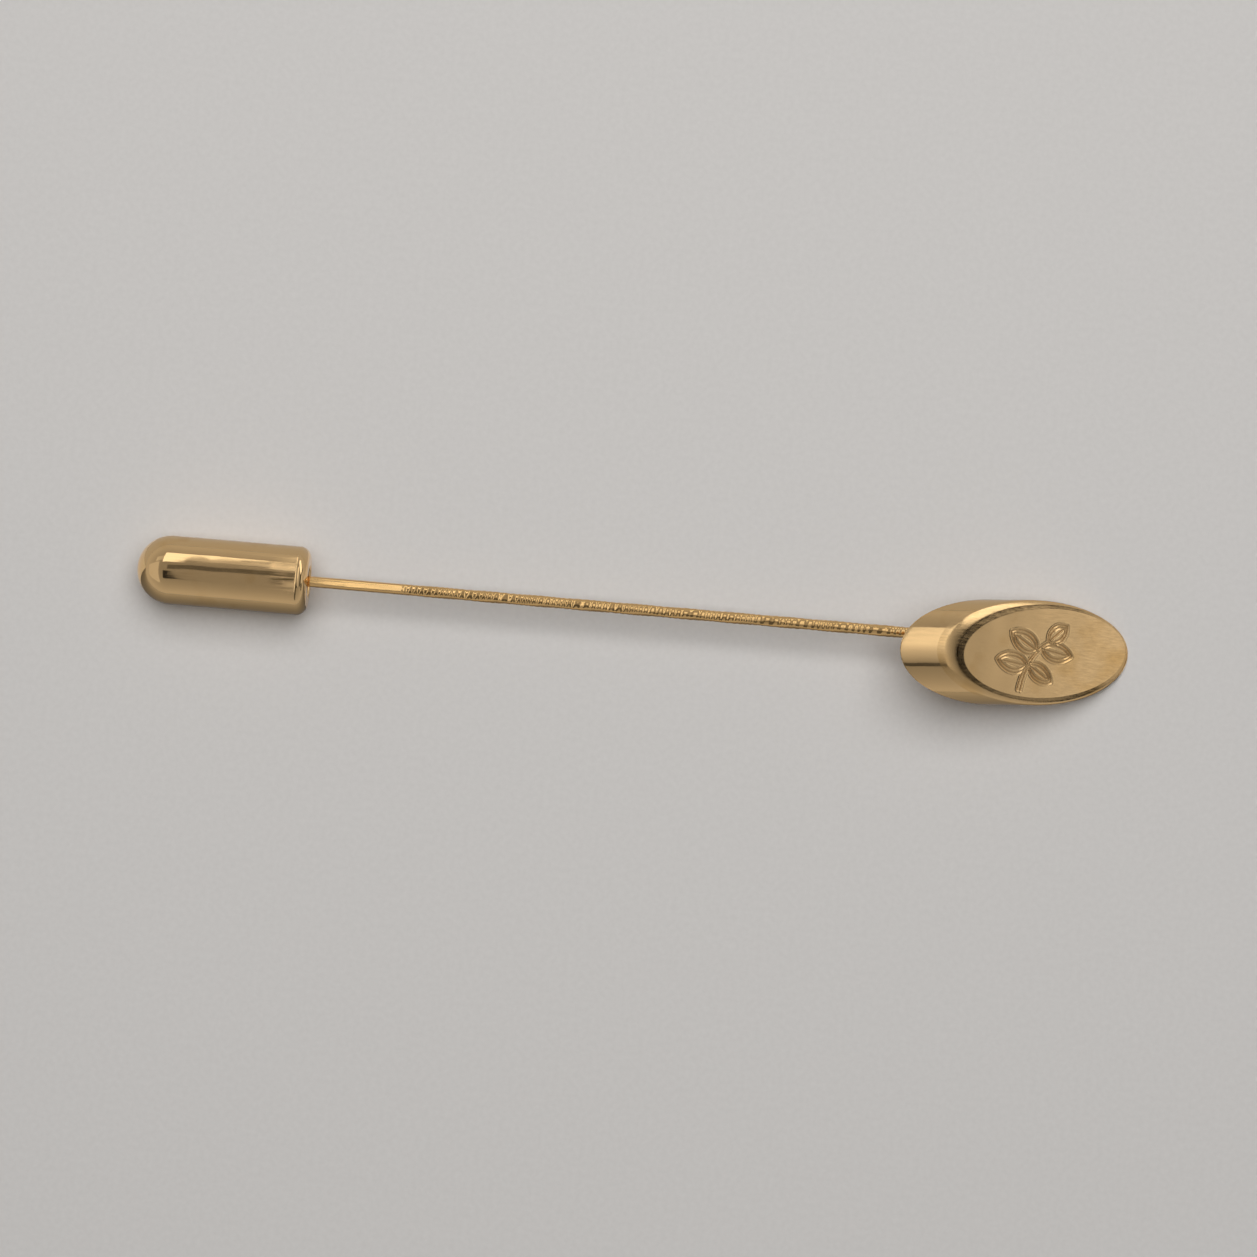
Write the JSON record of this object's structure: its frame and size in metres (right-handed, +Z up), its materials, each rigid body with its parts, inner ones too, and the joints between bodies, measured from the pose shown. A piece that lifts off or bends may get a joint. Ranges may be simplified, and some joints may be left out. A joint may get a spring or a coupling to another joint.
{
  "type": "stick pin",
  "caption": "Stick pin tie tack with a slant-cut oval engraved head on a straight grip-textured wire, and a bullet-shaped friction clutch over the point.",
  "frame": {"origin": "bottom centre of the whole pin's box, on the surface it lies on", "axes": "+X along the pin wire from the clutch to the head, +Z up, +Y across the wire; the head's face looks up and towards +X"},
  "size_m": [0.0727, 0.008, 0.0064],
  "materials": {
    "gold_plate": "polished gold plate on brass",
    "gold_face": "satin gold plate on brass, engraved",
    "gold_wire": "bright gold plate on drawn brass wire",
    "gold_barrel": "polished gold plate on drawn brass",
    "washer_steel": "dull stamped steel",
    "nylon": "natural moulded nylon",
    "bronze": "plain phosphor bronze"
  },
  "bodies": {
    "pin": {"head_wall": "gold_plate", "face_plate": "gold_face", "back_plate": "gold_plate", "pin_socket": "gold_plate", "pin_wire": "gold_wire"},
    "clutch_grip": {"grip_sleeve": "nylon", "grip_collet": "bronze"},
    "clutch_shell": {"clutch_barrel": "gold_barrel", "mouth_washer": "washer_steel"}
  },
  "joints": [
    {"name": "clutch_slide", "type": "slide", "parent": "pin", "child": "clutch_grip", "axis": [-1, 0, 0], "range_m": [0, 0.03]},
    {"name": "clutch_spin", "type": "hinge", "parent": "clutch_grip", "child": "clutch_shell", "pos_m": [-0.029, 0.00077, 0.0025], "axis": [1, 0, 0], "continuous": true}
  ]
}
